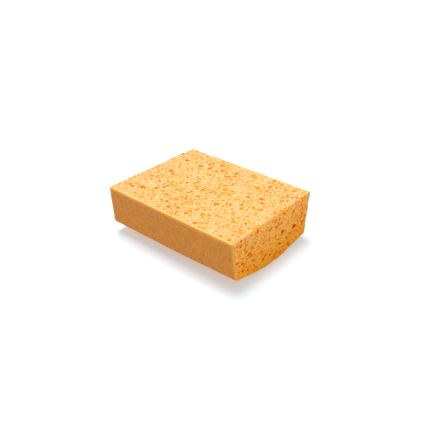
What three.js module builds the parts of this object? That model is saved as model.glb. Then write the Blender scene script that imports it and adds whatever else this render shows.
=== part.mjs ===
// A hand-size block of cellulose sponge, as used to wipe fresh grout off tiles.
//
// Millimetres, +Z up. +X runs along the block, and +Y from its front side to its rear side. The origin is
// on the surface that the block rests on, under the middle of its box.
//
// The block is one casting in three layers: an open-pore foam core between two closed skins, which the
// mould leaves on the long sides. The top, the underside and both ends are cut faces.

import * as THREE from "three";

const LENGTH = 140;
const WIDTH = 108;
const HEIGHT = 46.8;

const SKIN_THICKNESS = 1.4;
const LAYER_GAP = 0.3; // between a skin and the core, which are solids of their own

// The underside is crowned. It is flat between these two lines, measured across the block at its top,
// and from them it rises to both long sides. The front rise is given at the left and the right end, and
// the front edge sags a little between them.
const FLAT_FRONT_Y = -11;
const FLAT_REAR_Y = 9;
const FRONT_RISE_LEFT = 11;
const FRONT_RISE_RIGHT = 9.4;
const FRONT_SAG = 1;
const REAR_RISE = 5.3;

// Both long sides lean inwards on their way down, the front side more at the right end than at the left.
const FRONT_LEAN_LEFT = 1.3;
const FRONT_LEAN_RIGHT = 5.6;
const REAR_LEAN = 2.9;

// The lean and the sag change along the block, so its sides are slightly curved and need a few facets.
const STEPS_ALONG = 10;
const STEPS_UP = 3;

const FRONT_Y = -WIDTH / 2;
const REAR_Y = WIDTH / 2;

const { lerp } = THREE.MathUtils;

// 0 at the left end of the block and 1 at the right end.
function shareAlong(x) {
  return x / LENGTH + 0.5;
}

// Height of the underside below the point (x, y) of the top face.
function undersideHeight(x, y) {
  if (y < FLAT_FRONT_Y) {
    const share = shareAlong(x);
    const sag = FRONT_SAG * 4 * share * (1 - share);
    const frontRise = lerp(FRONT_RISE_LEFT, FRONT_RISE_RIGHT, share) - sag;
    return (frontRise * (FLAT_FRONT_Y - y)) / (FLAT_FRONT_Y - FRONT_Y);
  }
  if (y > FLAT_REAR_Y) {
    return (REAR_RISE * (y - FLAT_REAR_Y)) / (REAR_Y - FLAT_REAR_Y);
  }
  return 0;
}

// How far the underside is shifted along Y from the point (x, y) of the top face.
function undersideShift(x, y) {
  const frontLean = lerp(FRONT_LEAN_LEFT, FRONT_LEAN_RIGHT, shareAlong(x));
  return lerp(frontLean, -REAR_LEAN, y / WIDTH + 0.5);
}

// A slice of the block across its width: its top edge lines lie at the given stations, front to rear.
function blockLayer(name, stations, material) {
  const stepsAcross = stations.length - 1;
  const geometry = new THREE.BoxGeometry(1, 1, 1, STEPS_ALONG, stepsAcross, STEPS_UP);
  const position = geometry.attributes.position;
  for (let i = 0; i < position.count; i += 1) {
    const x = position.getX(i) * LENGTH;
    const topY = stations[Math.round((position.getY(i) + 0.5) * stepsAcross)];
    const up = position.getZ(i) + 0.5;
    const y = topY + undersideShift(x, topY) * (1 - up);
    const z = lerp(undersideHeight(x, topY), HEIGHT, up);
    position.setXYZ(i, x, y, z);
  }
  geometry.computeVertexNormals();
  const mesh = new THREE.Mesh(geometry, material);
  mesh.name = name;
  return mesh;
}

const foam = new THREE.MeshStandardMaterial({ color: 0xf7bf6c, roughness: 0.95, metalness: 0 });
const castSkin = new THREE.MeshStandardMaterial({ color: 0xcd8a42, roughness: 0.8, metalness: 0 });

const coreFrontY = FRONT_Y + SKIN_THICKNESS + LAYER_GAP;
const coreRearY = REAR_Y - SKIN_THICKNESS - LAYER_GAP;

const group = new THREE.Group();
group.add(
  blockLayer("foam_core", [coreFrontY, FLAT_FRONT_Y, FLAT_REAR_Y, coreRearY], foam),
  blockLayer("front_skin", [FRONT_Y, FRONT_Y + SKIN_THICKNESS], castSkin),
  blockLayer("rear_skin", [REAR_Y - SKIN_THICKNESS, REAR_Y], castSkin),
);

export default group;
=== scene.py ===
# The looks of a block of cellulose sponge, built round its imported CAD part: open-pore foam between two
# cast skins. Lengths are in millimetres, apart from those of the floor, light and camera, which are in
# metres. Every place is in the part's own frame.
import math
from collections import namedtuple

import bpy
import numpy as np
import openvdb
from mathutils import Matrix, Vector


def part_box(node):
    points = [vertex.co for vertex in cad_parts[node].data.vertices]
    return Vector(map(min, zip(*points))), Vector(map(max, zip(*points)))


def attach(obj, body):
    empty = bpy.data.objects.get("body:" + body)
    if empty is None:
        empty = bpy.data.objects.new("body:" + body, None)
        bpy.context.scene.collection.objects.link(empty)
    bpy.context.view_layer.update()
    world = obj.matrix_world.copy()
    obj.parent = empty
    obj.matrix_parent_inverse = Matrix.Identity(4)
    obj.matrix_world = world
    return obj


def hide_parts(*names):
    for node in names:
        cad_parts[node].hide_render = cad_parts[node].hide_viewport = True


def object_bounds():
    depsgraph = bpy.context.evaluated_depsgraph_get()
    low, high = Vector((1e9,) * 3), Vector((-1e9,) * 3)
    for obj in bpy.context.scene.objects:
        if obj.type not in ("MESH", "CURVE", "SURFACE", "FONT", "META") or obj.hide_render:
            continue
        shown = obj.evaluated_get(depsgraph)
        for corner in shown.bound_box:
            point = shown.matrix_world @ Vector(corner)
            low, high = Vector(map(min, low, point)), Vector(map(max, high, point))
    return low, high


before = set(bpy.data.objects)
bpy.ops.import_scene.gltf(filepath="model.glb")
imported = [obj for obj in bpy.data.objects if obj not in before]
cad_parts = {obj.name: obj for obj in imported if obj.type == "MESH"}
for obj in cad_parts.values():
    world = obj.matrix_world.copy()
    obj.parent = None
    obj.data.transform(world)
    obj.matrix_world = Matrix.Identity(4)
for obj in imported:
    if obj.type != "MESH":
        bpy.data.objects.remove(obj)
cad_low, cad_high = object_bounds()

MM = 0.001
SEED = 20

# The shape is worked out on a grid of even points, and a mesh is drawn through it.
VOXEL = 0.36
GRID_MARGIN = 1.2  # the grid reaches this far past the shape
SKIN_GRID_MARGIN = 1  # and this much further past the two faces of a skin
SURFACE_BAND = 3 * VOXEL  # the surface is drawn from the depths this near to it
FOAM_TRIANGLES = 190000
SKIN_TRIANGLES = 60000

SKIN_DEPTH = 1.5  # from a long side to the skin's inner face
LAYER_OVERLAP = 0.25  # the foam runs into the skins it has grown together with, so that no seam shows

LOW = np.array(cad_low) / MM
HIGH = np.array(cad_high) / MM


# ---------------------------------------------------------------------------------------------------------
# The block's shape, read from the CAD nodes

# The corners of the block's section, going round from the front top corner. Each is the point of a CAD
# node that lies furthest along a direction in (y, z).
SECTION_CORNERS = (
    ("front_skin", (-1, 1)),
    ("front_skin", (-1, -1)),
    ("foam_core", (-0.01, -1)),
    ("foam_core", (0.01, -1)),
    ("rear_skin", (1, -1)),
    ("rear_skin", (1, 1)),
)
SECTION_SIDES = ("front", "under_front", "under_flat", "under_rear", "rear", "top")
END_SIDES = ("left", "right")
UNDER_SIDES = ("under_front", "under_flat", "under_rear")
CUT_SIDES = ("top",) + END_SIDES + UNDER_SIDES
SAME_PLACE = 0.01  # points this near each other along the block are in one section


def section_at(x):
    """(y, z) of each corner of the section at a place along the block where the CAD nodes have points."""
    corners = []
    for node, direction in SECTION_CORNERS:
        points = np.array([v.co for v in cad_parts[node].data.vertices]) / MM
        section = points[np.abs(points[:, 0] - x) < SAME_PLACE, 1:]
        corners.append(section[(section @ direction).argmax()])
    return np.array(corners)


LEFT_SECTION = section_at(LOW[0])
MIDDLE_SECTION = section_at(0)
RIGHT_SECTION = section_at(HIGH[0])


def side_depths(x, y, z):
    """How deep the points lie below each side of the block, by the side's name."""
    share = (x - LOW[0]) / (HIGH[0] - LOW[0])
    corners = []
    for left, middle, right in zip(LEFT_SECTION, MIDDLE_SECTION, RIGHT_SECTION):
        bow = (middle - (left + right) / 2) * 4  # of the parabola through all three
        corners.append([left[k] + (right[k] - left[k] + bow[k] * (1 - share)) * share for k in (0, 1)])
    depths = {"left": x - LOW[0], "right": HIGH[0] - x}
    for i, side in enumerate(SECTION_SIDES):
        start = corners[i]
        end = corners[(i + 1) % len(corners)]
        run_y = end[0] - start[0]
        run_z = end[1] - start[1]
        rise = (z - start[1]) * run_y - (y - start[0]) * run_z
        depths[side] = rise / np.hypot(run_y, run_z)
    return depths


EDGE_ROUNDING = 1.0
SKIN_ROUNDING_TOP = 0.9
SKIN_ROUNDING_BOTTOM = 2.2
# The wear of the foam's edges sets in at 0.4 of the block's height, and is full from 0.9 up.
WEAR_SLOPE = 2
WEAR_START = 0.8


def smooth_min(a, b, blend):
    """The lower of a and b, rounded off where they differ by less than blend."""
    closeness = np.clip(blend - np.abs(a - b), 0, None) / blend
    return np.minimum(a, b) - closeness**2 * blend / 4


def depth_below(depths, sides, blend=EDGE_ROUNDING):
    """The depth below the nearest of some sides, with the edges between them rounded."""
    nearest = depths[sides[0]]
    for side in sides[1:]:
        nearest = smooth_min(nearest, depths[side], blend)
    return nearest


def lowest_of(depths, sides):
    """The depth below the nearest of some sides, with sharp edges."""
    return np.min([depths[side] for side in sides], axis=0)


def foam_rounding(wear, z):
    """How far the foam's edges are rounded at a height, given the relief of their wear."""
    worn = np.clip(WEAR_SLOPE * z / HIGH[2] - WEAR_START, 0, 1)
    return EDGE_ROUNDING + np.clip(wear, 0, EDGE_WEAR.depth) * worn


def skin_rounding(z):
    """How far the skins' edges are rounded at a height."""
    height = (z / HIGH[2]).clip(0, 1)
    return SKIN_ROUNDING_BOTTOM + (SKIN_ROUNDING_TOP - SKIN_ROUNDING_BOTTOM) * height


# ---------------------------------------------------------------------------------------------------------
# Random relief

# Smooth random values up to depth either way, in bumps about one cell wide. Each has its own seed.
Relief = namedtuple("Relief", "depth cell seed")
WAVES = Relief(depth=0.25, cell=14, seed=11)
GRAIN = Relief(depth=0.1, cell=1.3, seed=12)
EDGE_WEAR = Relief(depth=2.6, cell=5, seed=13)
SKIN_WAVES = Relief(depth=0.2, cell=9, seed=21)
SKIN_GRAIN = Relief(depth=0.07, cell=1.6, seed=22)
PORE_WARP_DEPTH = 0.24
PORE_WARPS = [Relief(PORE_WARP_DEPTH, cell=1.6, seed=seed) for seed in (1, 2, 3)]

LATTICE_SIZE = 61  # the values repeat after this many cells


def lattice(seed):
    """A cube of even random values from -1 to 1."""
    return np.random.default_rng([SEED, seed]).uniform(-1, 1, (LATTICE_SIZE,) * 3).astype(np.float32)


def lattice_place(values, cell):
    """Where values fall along a lattice: the indexes before and after, and the smooth share between."""
    in_cells = np.asarray(values, np.float32) / cell
    whole = np.floor(in_cells)
    part = in_cells - whole
    before = whole.astype(int)
    return before % LATTICE_SIZE, (before + 1) % LATTICE_SIZE, part * part * (3 - 2 * part)


def relief_at(points, relief):
    """A relief's values at some points, given as arrays x, y and z."""
    table = lattice(relief.seed)
    places = [lattice_place(values, relief.cell) for values in points]
    total = 0
    for i in (0, 1):
        for j in (0, 1):
            for k in (0, 1):
                corner = table[places[0][i], places[1][j], places[2][k]]
                for (_, _, share), after in zip(places, (i, j, k)):
                    corner = corner * (share if after else 1 - share)
                total = total + corner
    return relief.depth * total


def relief_on_grid(axes, relief):
    """The same values at every point of a grid."""
    table = lattice(relief.seed)
    for axis, values in enumerate(axes):
        before, after, share = lattice_place(values, relief.cell)
        share = share.reshape([-1 if k == axis else 1 for k in range(3)])
        table = table.take(before, axis) * (1 - share) + table.take(after, axis) * share
    return relief.depth * table


# ---------------------------------------------------------------------------------------------------------
# The material as a field of depths

PORE_RIM = 0.22  # rounding where a pore meets the cut face
LEAST_SLOPE = 1e-6  # keeps the middle of a pore from a division by 0


class Field:
    """The depth inside the material at every point of a grid: above 0 in the material, below 0 outside."""

    def __init__(self, low, high):
        self.axes = [np.arange(a - GRID_MARGIN, b + GRID_MARGIN, VOXEL) for a, b in zip(low, high)]
        self.open_axes = np.meshgrid(*self.axes, indexing="ij", sparse=True)
        self.warp = [relief_on_grid(self.axes, relief) for relief in PORE_WARPS]
        self.depth = None

    def carve(self, centre, radii, turn):
        """Takes a warped ellipsoid out of the material."""
        reach = max(radii) + PORE_WARP_DEPTH + PORE_RIM
        window = []
        for axis, c in zip(self.axes, centre):
            window.append(slice(*np.searchsorted(axis, (c - reach, c + reach))))
        window = tuple(window)
        if self.depth[window].size == 0:
            return
        offsets = []
        for k, open_axis in enumerate(self.open_axes):
            slot = [slice(None)] * 3
            slot[k] = window[k]
            offsets.append(open_axis[tuple(slot)] - centre[k] + self.warp[k][window])
        local = np.stack(offsets, -1) @ turn / radii
        size = np.linalg.norm(local, axis=-1)
        slope = np.linalg.norm(local / radii, axis=-1)
        outside = size * (size - 1) / np.maximum(slope, LEAST_SLOPE)  # near enough the distance outside it
        self.depth[window] = smooth_min(self.depth[window], outside, PORE_RIM)

    def surface(self):
        """Points and faces of the material's surface, without crumbs cut loose by the pores."""
        grid = openvdb.FloatGrid(SURFACE_BAND)
        grid.copyFromArray(np.clip(-self.depth, -SURFACE_BAND, SURFACE_BAND).astype(np.float32))
        grid.transform = openvdb.createLinearTransform(voxelSize=VOXEL)
        points, _, quads = grid.convertToPolygons(isovalue=0.0, adaptivity=0.0)
        origin = np.array([axis[0] for axis in self.axes])
        return largest_part(points + origin, quads.astype(int))


def largest_part(points, quads):
    """The connected part of a mesh with the most points."""
    label = np.arange(len(points))
    while True:
        lowest = label[quads].min(1)
        spread = label.copy()
        for corner in range(4):
            np.minimum.at(spread, quads[:, corner], lowest)
        spread = spread[spread]
        if (spread == label).all():
            break
        label = spread
    keep = label == np.bincount(label).argmax()
    index = np.cumsum(keep) - 1
    return points[keep], index[quads[keep[quads[:, 0]]]]


# ---------------------------------------------------------------------------------------------------------
# Pores

# Pores that stand out on the top face: distance from the left end and from the front side, then the
# opening's length and width.
TOP_LANDMARKS = (
    (23.5, 19, 6.5, 5), (19.5, 58, 5.5, 4.5), (15.5, 84, 5, 4.5), (34, 83.5, 5, 4.5), (44, 85, 5, 4),
    (53, 85, 4, 3.5), (56, 89.5, 5, 3), (72, 88, 4, 3.5), (50, 35, 6, 3), (37.5, 32, 3, 3),
    (71, 38.5, 4, 3.5), (61, 41.5, 4, 2.5), (60, 23, 4, 3), (35, 20, 6, 2), (100, 8, 4, 2),
    (101, 45.5, 4, 3.5), (77.5, 53.5, 4, 2), (40.5, 58.5, 4, 2.5), (104.5, 65, 4, 3.5),
    (115.5, 69.5, 5, 4), (120, 64, 4, 3), (101.5, 83, 4.5, 3.5), (108.5, 92.5, 4.5, 3.5),
    (131, 79, 3.5, 3), (105, 104, 4.5, 3.5), (106, 25, 7, 2), (88, 98, 6, 3),
)
# The same on the right end: distance from the front side and below the top, then width and height.
END_LANDMARKS = (
    (10.5, 6.3, 4, 4), (9, 14, 2.2, 5), (32, 3.5, 4, 4), (60, 9.5, 3, 3), (58, 12.5, 4, 3),
    (49.5, 10.5, 4, 4), (50, 21, 2.4, 4), (68, 22, 6, 4), (85, 25, 7, 4), (65, 32.3, 5, 3),
    (21, 19.5, 4, 4), (7, 20.5, 4, 3.5), (41, 35.5, 4.5, 4), (58, 41, 4, 4), (98, 27, 3, 5),
    (96.5, 17, 3, 4),
)
LANDMARK_SHRINK = 2.15  # an opening's size over its pore's radius
LANDMARK_DEPTH = 1.2  # a landmark's size into the block, over its width
TOP_SINK = 0.12  # a landmark's centre lies this share of its width below its face
END_SINK = -0.04  # on the ends it lies outside the face

COARSE_RADIUS = 0.86
COARSE_SPREAD = 0.32  # of the radius's logarithm
COARSE_LIMITS = (0.65, 2.1)
COARSE_PER_MM3 = 0.13  # places that are tried: most of them are no good for a pore
FINE_LIMITS = (0.5, 0.8)
FINE_PER_MM3 = 1.6
PORE_STRETCH = (0.78, 1.28)
BOX_MARGIN = 1  # the places that are tried reach this far past the block

# Where a scattered pore's centre may lie, as shares of its radius
PORE_HIGHEST = 0.4  # above its face
TOP_DEEPEST = 0.3  # below its face
END_DEEPEST = 0.12
SKIN_CLEARANCE = 0.6  # from the skins
PORE_GAP = 0.94  # from the next pore's centre, as a share of both radii together
CLEAN_EDGE = 1.6  # no pores open this near, in millimetres, to the bottom edges of the ends

BIG_PORE = 1.2
BIG_PORE_POCKETS = 3  # smaller hollows in the wall of each big pore; the other coarse ones have one
POCKET_SIZES = (0.35, 0.6)  # over their pore's radius
POCKET_PLACE = 0.95  # of the way from their pore's centre to its wall


def landmark_pores():
    """(centre, radii, turn) of the pores whose places are known."""
    pores = []
    for from_left, from_front, length, width in TOP_LANDMARKS:
        centre = np.array((LOW[0] + from_left, LOW[1] + from_front, HIGH[2] - TOP_SINK * width))
        radii = np.array((length, width, width * LANDMARK_DEPTH)) / LANDMARK_SHRINK
        pores.append((centre, radii, np.eye(3)))
    for from_front, below_top, width, height in END_LANDMARKS:
        centre = np.array((HIGH[0] - END_SINK * width, LOW[1] + from_front, HIGH[2] - below_top))
        radii = np.array((width * LANDMARK_DEPTH, width, height)) / LANDMARK_SHRINK
        pores.append((centre, radii, np.eye(3)))
    return pores


def random_turn(rng):
    """A random rotation, as a 3 by 3 matrix."""
    turn, _ = np.linalg.qr(rng.normal(size=(3, 3)))
    return turn


def opens(centres, radii):
    """Which of some pores open in a cut face, clear of the skins and of the ends' bottom edges."""
    depths = side_depths(*centres.T)
    cut = depth_below(depths, CUT_SIDES)
    from_end = lowest_of(depths, END_SIDES)
    deepest = np.where(from_end < depths["top"], END_DEEPEST, TOP_DEEPEST)
    at_face = (cut > -PORE_HIGHEST * radii) & (cut < deepest * radii)
    clear_of_skins = np.minimum(depths["front"], depths["rear"]) > SKIN_DEPTH + SKIN_CLEARANCE * radii
    clear_of_edges = np.maximum(from_end, lowest_of(depths, UNDER_SIDES)) > CLEAN_EDGE
    return at_face & clear_of_skins & clear_of_edges


def scattered_pores(rng, radii, taken):
    """Pores of the given radii at random places where they open in a cut face, clear of those in taken."""
    centres = rng.uniform(LOW - BOX_MARGIN, HIGH + BOX_MARGIN, (len(radii), 3))
    chosen = opens(centres, radii)
    places = np.empty((len(taken) + chosen.sum(), 3))
    sizes = np.empty(len(places))
    for i, (centre, size, _) in enumerate(taken):
        places[i] = centre
        sizes[i] = size.mean()
    count = len(taken)
    pores = []
    for centre, radius in zip(centres[chosen], radii[chosen]):
        gaps = np.linalg.norm(places[:count] - centre, axis=1)
        if (gaps < PORE_GAP * (sizes[:count] + radius)).any():
            continue
        places[count] = centre
        sizes[count] = radius
        count += 1
        stretch = rng.uniform(*PORE_STRETCH, 3)
        stretch /= stretch.prod() ** (1 / 3)
        pores.append((centre, radius * stretch, random_turn(rng)))
    return pores


def pockets(rng, pore):
    """Smaller hollows in a pore's wall, away from the block's surface."""
    centre, radii, turn = pore
    hollows = []
    for _ in range(BIG_PORE_POCKETS if radii.mean() > BIG_PORE else 1):
        way = rng.normal(size=3)
        way /= np.linalg.norm(way)
        depth_here = depth_below(side_depths(*centre), CUT_SIDES)
        depth_there = depth_below(side_depths(*(centre + way)), CUT_SIDES)
        if depth_there < depth_here:
            way = -way
        radius = radii.mean() * rng.uniform(*POCKET_SIZES)
        middle = centre + turn @ (radii * (turn.T @ way)) * POCKET_PLACE
        hollows.append((middle, np.full(3, radius), np.eye(3)))
    return hollows


def foam_pores():
    """Every pore of the foam that opens in a cut face. The underside, seldom seen, has no fine ones."""
    rng = np.random.default_rng(SEED)
    volume = (HIGH - LOW + 2 * BOX_MARGIN).prod()
    coarse_radii = COARSE_RADIUS * np.exp(rng.normal(0, COARSE_SPREAD, int(volume * COARSE_PER_MM3)))
    coarse_radii = np.sort(coarse_radii.clip(*COARSE_LIMITS))[::-1]
    pores = landmark_pores()
    pores += scattered_pores(rng, coarse_radii, pores)
    inner = [hollow for pore in pores for hollow in pockets(rng, pore)]
    fine_radii = rng.uniform(*FINE_LIMITS, int(volume * FINE_PER_MM3))
    for pore in scattered_pores(rng, fine_radii, pores):
        depths = side_depths(*pore[0])
        if lowest_of(depths, UNDER_SIDES) > lowest_of(depths, END_SIDES + ("top",)):
            pores.append(pore)
    return pores + inner


# ---------------------------------------------------------------------------------------------------------
# Meshes

def new_piece(name, points, faces, most_triangles):
    """A smooth mesh object of about that many triangles at most, made from points in millimetres."""
    mesh = bpy.data.meshes.new(name)
    mesh.from_pydata((points * MM).tolist(), [], faces.tolist())
    piece = bpy.data.objects.new(name, mesh)
    bpy.context.scene.collection.objects.link(piece)
    thin = piece.modifiers.new("thin", "DECIMATE")
    thin.ratio = min(1, most_triangles / (2 * len(faces)))
    thin.use_collapse_triangulate = True
    graph = bpy.context.evaluated_depsgraph_get()
    piece.data = bpy.data.meshes.new_from_object(piece.evaluated_get(graph))
    piece.data.name = name
    piece.modifiers.clear()
    bpy.data.meshes.remove(mesh)
    piece.data.shade_smooth()
    return piece


def build_foam():
    """The foam between the skins, open on its cut faces. It rests on the floor."""
    field = Field(LOW, HIGH)
    depths = side_depths(*field.open_axes)
    rounding = foam_rounding(relief_on_grid(field.axes, EDGE_WEAR), field.open_axes[2])
    field.depth = depth_below(depths, CUT_SIDES, rounding)
    field.depth += relief_on_grid(field.axes, WAVES)
    field.depth += relief_on_grid(field.axes, GRAIN)
    for pore in foam_pores():
        field.carve(*pore)
    between_skins = np.minimum(depths["front"], depths["rear"]) - SKIN_DEPTH + LAYER_OVERLAP
    field.depth = np.minimum(field.depth, between_skins)
    field.depth = np.minimum(field.depth, field.open_axes[2])
    return new_piece("sponge_foam", *field.surface(), FOAM_TRIANGLES)


def build_skin(name, side):
    """The closed skin on one long side."""
    y_low, y_high = (np.array(corner)[1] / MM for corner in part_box(name))
    low = LOW.copy()
    high = HIGH.copy()
    low[1] = y_low - SKIN_GRID_MARGIN
    high[1] = y_high + SKIN_GRID_MARGIN
    field = Field(low, high)
    depths = side_depths(*field.open_axes)
    outer = depth_below(depths, (side,) + CUT_SIDES, skin_rounding(field.open_axes[2]))
    outer = outer + relief_on_grid(field.axes, SKIN_WAVES)
    outer = outer + relief_on_grid(field.axes, SKIN_GRAIN)
    field.depth = np.minimum(outer, SKIN_DEPTH - depths[side])
    return new_piece("sponge_" + name, *field.surface(), SKIN_TRIANGLES)


def piece_points(piece):
    """The points of a piece's mesh, in millimetres, as three arrays x, y and z."""
    flat = np.empty(len(piece.data.vertices) * 3)
    piece.data.vertices.foreach_get("co", flat)
    return flat.reshape(-1, 3).T / MM


def triangle_middles(piece):
    """The middle of each triangle, in millimetres, as three arrays x, y and z."""
    flat = np.empty(len(piece.data.polygons) * 3)
    piece.data.polygons.foreach_get("center", flat)
    return flat.reshape(-1, 3).T / MM


# ---------------------------------------------------------------------------------------------------------
# What each point of a mesh tells its material

FULL_PORE_DEPTH = 3  # depths in the foam are given as shares of this
FULL_EDGE_DEPTH = 8  # distances from a skin's cut edges are given as shares of this
END_EDGE_NARROWING = 1.7  # a skin's bright edge, painted light, is this many times narrower at the ends than at the top
# The foam's colours are painted paler on the lit top and deeper on the shaded ends: painted light and shade
FOAM_TOP_BLEND = 2.2  # width of the change from the foam's colours at the ends to those on top
FOAM_TOP_START = 0.8  # the top's share right on the edge between the two
SKIN_TOP_BLEND = 1.5
UNDER_BLEND = 1.5
EVEN_SHARE = 0.5  # the same for the changes that are even on both sides of an edge
UNDER_HEIGHT = 0.6  # the underside has the painted shade that the ends have at this share of the height


def set_attribute(piece, name, values):
    """Stores a number for each point of the mesh, for its material to read."""
    attribute = piece.data.attributes.new(name, "FLOAT", "POINT")
    attribute.data.foreach_set("value", values.astype(np.float32))


def describe_foam(foam):
    """Tells the foam's material how deep each point lies, how much it is on top, and its height."""
    points = piece_points(foam)
    depths = side_depths(*points)
    rounding = foam_rounding(relief_at(points, EDGE_WEAR), points[2])
    waves = relief_at(points, WAVES) + relief_at(points, GRAIN)
    depth = depth_below(depths, CUT_SIDES, rounding) + waves
    set_attribute(foam, "pore_depth", depth.clip(0, FULL_PORE_DEPTH) / FULL_PORE_DEPTH)
    from_top_edge = lowest_of(depths, END_SIDES + UNDER_SIDES) - depths["top"]
    set_attribute(foam, "top_share", (from_top_edge / FOAM_TOP_BLEND + FOAM_TOP_START).clip(0, 1))
    from_bottom_edge = lowest_of(depths, END_SIDES) - lowest_of(depths, UNDER_SIDES)
    under_share = (from_bottom_edge / UNDER_BLEND + EVEN_SHARE).clip(0, 1)
    height = (points[2] / HIGH[2]).clip(0, 1)
    set_attribute(foam, "height_share", np.maximum(height, UNDER_HEIGHT * under_share))


def describe_skin(piece):
    """Tells the skins' material how far each point lies from the cut edges, and how much it is on top."""
    depths = side_depths(*piece_points(piece))
    from_end = lowest_of(depths, END_SIDES)
    from_edge = np.minimum(depths["top"], END_EDGE_NARROWING * from_end)
    set_attribute(piece, "cut_edge_depth", from_edge.clip(0, FULL_EDGE_DEPTH) / FULL_EDGE_DEPTH)
    from_top_edge = from_end - depths["top"]
    set_attribute(piece, "top_share", (from_top_edge / SKIN_TOP_BLEND + EVEN_SHARE).clip(0, 1))


# ---------------------------------------------------------------------------------------------------------
# The map that colours are baked to

# Each triangle is pressed flat against the nearest side of the block, and the sides are laid out as
# patches: the axes across and up, the scale, and the place of the patch's corner in millimetres.
FOAM_MAP_SIZE = 218
FOAM_PATCHES = {
    "top": (0, 1, 1, 1, 1),
    "under": (0, 1, 1, 1, 110),
    "left": (2, 1, 1, 143, 1),
    "right": (2, 1, 1, 143, 110),
    "front": (2, 0, 0.15, 193, 1),
    "rear": (2, 0, 0.15, 193, 30),
}
SKIN_MAP_SIZE = 146
SKIN_PATCHES = {
    "outer": (0, 2, 1, 2, 2),
    "inner": (0, 2, 1, 2, 52),
    "top": (0, 1, 1, 2, 102),
    "under": (0, 1, 1, 2, 110),
    "left": (2, 1, 1, 2, 124),
    "right": (2, 1, 1, 52, 124),
}


def lay_out(piece, depths, patches, map_size, box_low):
    """Gives a mesh its bake map, from the depths of its triangles' middles below each side."""
    mesh = piece.data
    names = list(depths)
    nearest = np.array([depths[name] for name in names]).argmin(0)
    corner_points = np.empty(len(mesh.loops), int)
    mesh.loops.foreach_get("vertex_index", corner_points)
    places = np.array(piece_points(piece)).T[corner_points] - box_low
    patch_of_corner = np.repeat(nearest, 3)
    uv = np.empty((len(mesh.loops), 2))
    for index, name in enumerate(names):
        across, up, scale, start_u, start_v = patches[name]
        chosen = patch_of_corner == index
        uv[chosen, 0] = places[chosen, across] * scale + start_u
        uv[chosen, 1] = places[chosen, up] * scale + start_v
    layer = mesh.uv_layers.new(name="OFBake")
    layer.data.foreach_set("uv", (uv / map_size).ravel())


def lay_out_foam(foam):
    depths = side_depths(*triangle_middles(foam))
    sides = {name: depths[name] for name in ("top",) + END_SIDES}
    sides["front"] = depths["front"] - SKIN_DEPTH
    sides["rear"] = depths["rear"] - SKIN_DEPTH
    sides["under"] = lowest_of(depths, UNDER_SIDES)
    lay_out(foam, sides, FOAM_PATCHES, FOAM_MAP_SIZE, LOW)


def lay_out_skin(piece, node, side):
    depths = side_depths(*triangle_middles(piece))
    sides = {name: depths[name] for name in ("top",) + END_SIDES}
    sides["outer"] = depths[side]
    sides["inner"] = SKIN_DEPTH - depths[side]
    sides["under"] = lowest_of(depths, UNDER_SIDES)
    skin_low = np.array(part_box(node)[0]) / MM
    lay_out(piece, sides, SKIN_PATCHES, SKIN_MAP_SIZE, skin_low)


# ---------------------------------------------------------------------------------------------------------
# What both materials are made with

SPECULAR = 0.25
# Light that enters the cellulose comes out again a little way off, red furthest.
SCATTER_WEIGHT = 0.3
SCATTER_RADII = (1.0, 0.45, 0.12)
SCATTER_REACH = 1.5

MOTTLE_ROUGHNESS = 0.6
MOTTLE_DETAIL = 2.0
BEND_SCALE = 900.0  # bends in a metre
BEND_REACH = 0.9
MIDDLE_COLOUR = (0.5, 0.5, 0.5)

# Specks a cell apart. Their least and greatest radius and the blur of their rims are shares of the cell,
# and a radius below 0 is no speck.
Specks = namedtuple("Specks", "cell smallest largest blur")
# Bumps in a surface: their strength, and their height.
Bumps = namedtuple("Bumps", "strength height")


def new_material(name):
    """A material with only its shader, and a function that adds a node and links its inputs."""
    material = bpy.data.materials.new(name)
    material.use_nodes = True
    nodes = material.node_tree.nodes
    links = material.node_tree.links

    def add(kind, inputs=None, **settings):
        node = nodes.new(kind)
        for key, value in settings.items():
            setattr(node, key, value)
        for key, value in (inputs or {}).items():
            if isinstance(value, bpy.types.NodeSocket):
                links.new(value, node.inputs[key])
            else:
                node.inputs[key].default_value = value
        return node

    return material, nodes["Principled BSDF"], add, links


def read_attribute(add, name):
    """A number stored at each point of the mesh."""
    return add("ShaderNodeAttribute", attribute_name=name).outputs["Fac"]


def math_node(add, operation, a, b, clamp=False):
    """One step of arithmetic on values or sockets."""
    return add("ShaderNodeMath", {0: a, 1: b}, operation=operation, use_clamp=clamp).outputs["Value"]


def times(add, value, factor):
    return math_node(add, "MULTIPLY", value, factor)


def vector_node(add, operation, inputs):
    """One step of arithmetic on vectors."""
    return add("ShaderNodeVectorMath", inputs, operation=operation).outputs["Vector"]


def steps(add, value, start, end):
    """0 below start and 1 above end, with a smooth change between."""
    inputs = {"Value": value, "From Min": start, "From Max": end}
    return add("ShaderNodeMapRange", inputs, interpolation_type="SMOOTHSTEP").outputs["Result"]


def mix_colour(add, share, a, b, blend="MIX"):
    """Colour a where the share is 0, and b (or the blend of both) where it is 1."""
    node = add("ShaderNodeMix", {"Factor": share}, data_type="RGBA", blend_type=blend)
    colour_inputs = [socket for socket in node.inputs if socket.type == "RGBA"]
    for socket, value in zip(colour_inputs, (a, b)):
        if isinstance(value, bpy.types.NodeSocket):
            node.id_data.links.new(value, socket)
        else:
            socket.default_value = (*value, 1)
    return next(socket for socket in node.outputs if socket.type == "RGBA")


def speckle(add, place, specks):
    """1 inside round specks of many sizes, and 0 between them."""
    cells = add("ShaderNodeTexVoronoi", {"Vector": place, "Scale": 1 / (specks.cell * MM)})
    random = add("ShaderNodeSeparateColor", {"Color": cells.outputs["Color"]}).outputs["Red"]
    radius = times(add, random, specks.largest - specks.smallest)
    radius = math_node(add, "ADD", radius, specks.smallest)
    inside = math_node(add, "SUBTRACT", radius, cells.outputs["Distance"])
    return steps(add, inside, -specks.blur, specks.blur)


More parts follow.
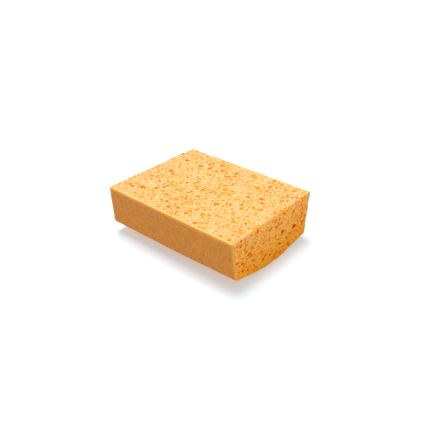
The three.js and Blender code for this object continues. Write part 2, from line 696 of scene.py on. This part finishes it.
def mottle(add, place, cell, detail=MOTTLE_DETAIL):
    """Cloudy random values round 0.5."""
    inputs = {"Vector": place, "Scale": 1 / (cell * MM), "Detail": detail, "Roughness": MOTTLE_ROUGHNESS}
    return add("ShaderNodeTexNoise", inputs).outputs["Fac"]


def bent_place(add, place):
    """The place, shifted to and fro at random, so that round specks turn out uneven."""
    clouds = add("ShaderNodeTexNoise", {"Vector": place, "Scale": BEND_SCALE, "Detail": 1.0})
    shift = vector_node(add, "SUBTRACT", {0: clouds.outputs["Color"], 1: MIDDLE_COLOUR})
    shift = vector_node(add, "SCALE", {0: shift, "Scale": BEND_REACH * MM})
    return vector_node(add, "ADD", {0: place, 1: shift})


def finish_surface(add, links, shader, relief, bumps, fibre, roughness):
    """Gives the shader its bumps, a roughness that follows the fibre between two limits, and its scatter."""
    inputs = {"Height": relief, "Strength": bumps.strength, "Distance": bumps.height * MM}
    bump = add("ShaderNodeBump", inputs)
    links.new(bump.outputs["Normal"], shader.inputs["Normal"])
    rough = add("ShaderNodeMapRange", {"Value": fibre, "To Min": roughness[0], "To Max": roughness[1]})
    links.new(rough.outputs["Result"], shader.inputs["Roughness"])
    shader.inputs["Specular IOR Level"].default_value = SPECULAR
    shader.inputs["Subsurface Weight"].default_value = SCATTER_WEIGHT
    shader.inputs["Subsurface Radius"].default_value = SCATTER_RADII
    shader.inputs["Subsurface Scale"].default_value = SCATTER_REACH * MM


# ---------------------------------------------------------------------------------------------------------
# The foam's material

# Linear colours. The web is the foam between the pores, in two shades. A pore has one colour in its
# shallow parts and one in its deep parts. The pores' deeper, more saturated orange is painted shade, and
# the lighter colour of their deep parts is painted light against it. The top's paler colours and the
# ends' deeper ones are painted light and shade, a lit and a shaded copy of one foam.
TOP_WEB = ((0.92, 0.495, 0.265), (0.93, 0.485, 0.21))
END_WEB = ((0.97, 0.51, 0.15), (0.96, 0.46, 0.085))
TOP_PORE = ((0.99, 0.37, 0.010), (0.99, 0.54, 0.010))
END_PORE = ((0.98, 0.325, 0.001), (0.99, 0.42, 0.002))
END_PORE_RED = (0.99, 0.25, 0.006)  # in some places on the ends
# Painted shade, darker and a deeper orange towards the floor: what all of them are multiplied by at
# the bottom of the block, and further up, where none is painted
LOW_SHADE = (0.92, 0.78, 0.02)
NO_SHADE = (1.0, 1.0, 1.0)
NO_SHADE_HEIGHT = 0.9

# Where each change starts and ends: the first two as shares of FULL_PORE_DEPTH
HOLLOW_STEPS = (0.03, 0.13)
DEEP_STEPS = (0.22, 0.75)
WEB_STEPS = (0.35, 0.65)
RED_STEPS = (0.5, 0.62)
WEB_CELL = 3.0
RED_CELL = 7.0

SMALL_SPECKS = Specks(cell=2.0, smallest=0.10, largest=0.41, blur=0.035)
TINY_SPECKS = Specks(cell=1.15, smallest=0.0, largest=0.38, blur=0.1)
TINY_STRENGTH = 0.25
END_SPECKS = Specks(cell=1.6, smallest=0.1, largest=0.42, blur=0.06)
END_STRENGTH = 0.9

FOAM_FIBRE_CELL = 0.35
FOAM_FIBRE_DETAIL = 3.0
FOAM_FIBRE_RELIEF = 0.35
FOAM_BUMPS = Bumps(strength=0.35, height=0.3)
FOAM_ROUGHNESS = (0.8, 1.0)


def foam_specks(add, place, on_top):
    """1 in the pores too small to be modelled, which get the pores' painted shade. The ends have more of
    them than the top.
    """
    bent = bent_place(add, place)
    small = speckle(add, bent, SMALL_SPECKS)
    tiny = times(add, speckle(add, bent, TINY_SPECKS), TINY_STRENGTH)
    on_end = math_node(add, "SUBTRACT", END_STRENGTH, on_top, clamp=True)
    more = times(add, speckle(add, bent, END_SPECKS), on_end)
    return math_node(add, "MAXIMUM", math_node(add, "MAXIMUM", small, tiny), more)


def foam_colour(add, place, on_top, speck):
    """The foam's colour: web or pore, top or end, and a deeper orange lower down. The pores' colour and the
    orange lower down are painted shade, and the top is painted paler than the ends, as lit against shaded.
    """
    depth = read_attribute(add, "pore_depth")
    # painted shade: the pores' more saturated orange, by how deep a point lies
    hollow = steps(add, depth, *HOLLOW_STEPS)
    # painted light: the deep parts of a pore lighter, against the shade in them
    deep = steps(add, depth, *DEEP_STEPS)
    cloud = steps(add, mottle(add, place, WEB_CELL), *WEB_STEPS)
    red = steps(add, mottle(add, place, RED_CELL), *RED_STEPS)
    # painted light and shade: paler colours on the lit top, deeper ones on the shaded ends
    web = mix_colour(add, on_top, mix_colour(add, cloud, *END_WEB), mix_colour(add, cloud, *TOP_WEB))
    end_pore = mix_colour(add, red, mix_colour(add, deep, *END_PORE), END_PORE_RED)
    pore = mix_colour(add, on_top, end_pore, mix_colour(add, deep, *TOP_PORE))
    # painted shade in the pores and in the specks of pores too small to be modelled
    colour = mix_colour(add, math_node(add, "MAXIMUM", hollow, speck), web, pore)
    # painted shade: the colour darker and a deeper orange towards the bottom of the block
    height = steps(add, read_attribute(add, "height_share"), 0.0, NO_SHADE_HEIGHT)
    shade_by_height = mix_colour(add, height, LOW_SHADE, NO_SHADE)
    return mix_colour(add, 1.0, colour, shade_by_height, blend="MULTIPLY")


def foam_material():
    material, shader, add, links = new_material("cellulose_foam")
    place = add("ShaderNodeTexCoord").outputs["Object"]
    on_top = read_attribute(add, "top_share")
    speck = foam_specks(add, place, on_top)
    links.new(foam_colour(add, place, on_top, speck), shader.inputs["Base Color"])
    fibre = mottle(add, place, FOAM_FIBRE_CELL, FOAM_FIBRE_DETAIL)
    relief = math_node(add, "SUBTRACT", times(add, fibre, FOAM_FIBRE_RELIEF), speck)
    finish_surface(add, links, shader, relief, FOAM_BUMPS, fibre, FOAM_ROUGHNESS)
    return material


# ---------------------------------------------------------------------------------------------------------
# The skins' material

# Linear colours, laid over each other in this order, and how strongly each covers what lies below it
TAN = ((0.56, 0.198, 0.016), (0.70, 0.256, 0.050))
CLOUD_TAN = (0.62, 0.215, 0.024)
CLOUD_STRENGTH = 0.4
SPECK_RED = (0.68, 0.17, 0.03)
SPECK_STRENGTH = 0.5
# Painted shade: pinholes too small to be modelled, drawn dark brown over a small dip in the bumps
PINHOLE_SHADE = (0.45, 0.13, 0.015)
PINHOLE_SHADE_STRENGTH = 0.6
# Painted light: a brighter orange band along the cut edges, widest under the top, where the skin is most lit
LIT_BAND_ORANGE = (0.91, 0.38, 0.035)
LIT_BAND_STRENGTH = 0.75
# The cut line, painted paler on the lit top than at the shaded ends
SHADED_END_CUT = (0.80, 0.36, 0.07)
LIT_TOP_CUT = (0.93, 0.52, 0.17)

# Where each change starts and ends: the last two as shares of FULL_EDGE_DEPTH
FINE_STEPS = (0.36, 0.64)
CLOUD_STEPS = (0.4, 0.7)
LIT_BAND_STEPS = (0.06, 0.55)
CUT_STEPS = (0.015, 0.08)

CLOUD_CELL = 9.0
FINE_CELL = 2.2
FINE_DETAIL = 6.0
FINE_RELIEF = 0.8
SKIN_FIBRE_CELL = 0.4
RED_SPECKS = Specks(cell=3.0, smallest=-0.3, largest=0.16, blur=0.05)
PINHOLES = Specks(cell=2.6, smallest=-0.2, largest=0.13, blur=0.04)
SKIN_BUMPS = Bumps(strength=0.45, height=0.2)
SKIN_ROUGHNESS = (0.65, 0.9)


def near_edge(add, edge, limits):
    """1 at the cut edges and 0 away from them."""
    return math_node(add, "SUBTRACT", 1.0, steps(add, edge, *limits))


def skin_colour(add, place, fine, pinhole):
    """The skin's colour: mottled tan with painted shade in its pinholes, brighter near the cut edges with
    painted light, and a cut line painted paler on the lit top than at the shaded ends.
    """
    edge = read_attribute(add, "cut_edge_depth")
    cloud = steps(add, mottle(add, place, CLOUD_CELL), *CLOUD_STEPS)
    red = speckle(add, place, RED_SPECKS)
    colour = mix_colour(add, steps(add, fine, *FINE_STEPS), *TAN)
    colour = mix_colour(add, times(add, cloud, CLOUD_STRENGTH), colour, CLOUD_TAN)
    colour = mix_colour(add, times(add, red, SPECK_STRENGTH), colour, SPECK_RED)
    # painted shade in the pinholes
    colour = mix_colour(add, times(add, pinhole, PINHOLE_SHADE_STRENGTH), colour, PINHOLE_SHADE)
    # painted light along the cut edges
    lit_band = times(add, near_edge(add, edge, LIT_BAND_STEPS), LIT_BAND_STRENGTH)
    colour = mix_colour(add, lit_band, colour, LIT_BAND_ORANGE)
    # painted light and shade: the cut line paler on the lit top than at the shaded ends
    cut_colour = mix_colour(add, read_attribute(add, "top_share"), SHADED_END_CUT, LIT_TOP_CUT)
    return mix_colour(add, near_edge(add, edge, CUT_STEPS), colour, cut_colour)


def skin_material():
    material, shader, add, links = new_material("cast_skin")
    place = add("ShaderNodeTexCoord").outputs["Object"]
    fine = mottle(add, place, FINE_CELL, FINE_DETAIL)
    pinhole = speckle(add, place, PINHOLES)
    links.new(skin_colour(add, place, fine, pinhole), shader.inputs["Base Color"])
    relief = math_node(add, "ADD", times(add, fine, FINE_RELIEF), mottle(add, place, SKIN_FIBRE_CELL))
    relief = math_node(add, "SUBTRACT", relief, pinhole)
    finish_surface(add, links, shader, relief, SKIN_BUMPS, fine, SKIN_ROUGHNESS)
    return material


# ---------------------------------------------------------------------------------------------------------
# The pieces

foam = build_foam()
describe_foam(foam)
lay_out_foam(foam)
foam.data.materials.append(foam_material())
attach(foam, "root")
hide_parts("foam_core")

skin = skin_material()
for node, side in (("front_skin", "front"), ("rear_skin", "rear")):
    piece = build_skin(node, side)
    describe_skin(piece)
    lay_out_skin(piece, node, side)
    piece.data.materials.append(skin)
    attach(piece, "root")
    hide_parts(node)


# ---------------------------------------------------------------------------------------------------------
# Floor, light and camera. Lengths are in metres from here on.

FLOOR_REACH = 4.0  # from its middle to each side
FLOOR_COLOUR = (0.51, 0.57, 0.62, 1)
# The floor glows a little, so that it shows white and the shadow on it stays pale.
FLOOR_GLOW_COLOUR = (0.97, 1, 1, 1)
FLOOR_GLOW = 0.34

WHITE = (1, 1, 1, 1)
BACKGROUND_LIGHT = 0.65
BACKGROUND_SEEN = 1.0
SOFTBOX_POWER = 2.6
SOFTBOX_WIDTH = math.radians(22)
SOFTBOX_FROM = Vector((-0.2, 0.05, 1))

CAMERA_AZIMUTH = math.radians(40.49)
CAMERA_ELEVATION = math.radians(31.51)
CAMERA_AIM = Vector((0.0144, -0.0088, 0.0300))
CAMERA_DISTANCE = 0.4645
LENS = 44.84
NEAREST_SEEN = 0.01


def add_floor():
    """A plain, pale floor below the block."""
    r = FLOOR_REACH
    mesh = bpy.data.meshes.new("floor")
    mesh.from_pydata([(-r, -r, 0), (r, -r, 0), (r, r, 0), (-r, r, 0)], [], [(0, 1, 2, 3)])
    floor = bpy.data.objects.new("floor", mesh)
    bpy.context.scene.collection.objects.link(floor)
    material = bpy.data.materials.new("floor")
    material.use_nodes = True
    shader = material.node_tree.nodes["Principled BSDF"]
    shader.inputs["Base Color"].default_value = FLOOR_COLOUR
    shader.inputs["Roughness"].default_value = 1.0
    shader.inputs["Specular IOR Level"].default_value = 0.0
    shader.inputs["Emission Color"].default_value = FLOOR_GLOW_COLOUR
    shader.inputs["Emission Strength"].default_value = FLOOR_GLOW
    mesh.materials.append(material)
    return floor


def add_background():
    """A white world that looks brighter to the camera than the light it gives."""
    world = bpy.data.worlds.new("studio")
    world.use_nodes = True
    bpy.context.scene.world = world
    nodes = world.node_tree.nodes
    links = world.node_tree.links
    background = nodes["Background"]
    background.inputs["Color"].default_value = WHITE
    path = nodes.new("ShaderNodeLightPath")
    strength = nodes.new("ShaderNodeMix")
    strength.inputs["A"].default_value = BACKGROUND_LIGHT
    strength.inputs["B"].default_value = BACKGROUND_SEEN
    links.new(path.outputs["Is Camera Ray"], strength.inputs["Factor"])
    links.new(strength.outputs["Result"], background.inputs["Strength"])


def add_aimed(name, data, back):
    """An object that faces away from the direction back, as a camera or a lamp does."""
    thing = bpy.data.objects.new(name, data)
    thing.rotation_mode = "QUATERNION"
    thing.rotation_quaternion = back.to_track_quat("Z", "Y")
    bpy.context.scene.collection.objects.link(thing)
    return thing


def add_softbox():
    """A broad, even light from almost straight above."""
    light = bpy.data.lights.new("softbox", "SUN")
    light.energy = SOFTBOX_POWER
    light.angle = SOFTBOX_WIDTH
    add_aimed("softbox", light, SOFTBOX_FROM)


def add_camera():
    """The camera at the photograph's angle."""
    data = bpy.data.cameras.new("camera")
    data.lens = LENS
    data.clip_start = NEAREST_SEEN
    back = Vector((
        math.sin(CAMERA_AZIMUTH) * math.cos(CAMERA_ELEVATION),
        -math.cos(CAMERA_AZIMUTH) * math.cos(CAMERA_ELEVATION),
        math.sin(CAMERA_ELEVATION),
    ))
    camera = add_aimed("camera", data, back)
    camera.location = CAMERA_AIM + back * CAMERA_DISTANCE
    bpy.context.scene.camera = camera


floor = add_floor()
add_background()
add_softbox()
add_camera()
bpy.context.scene.view_settings.view_transform = "Standard"
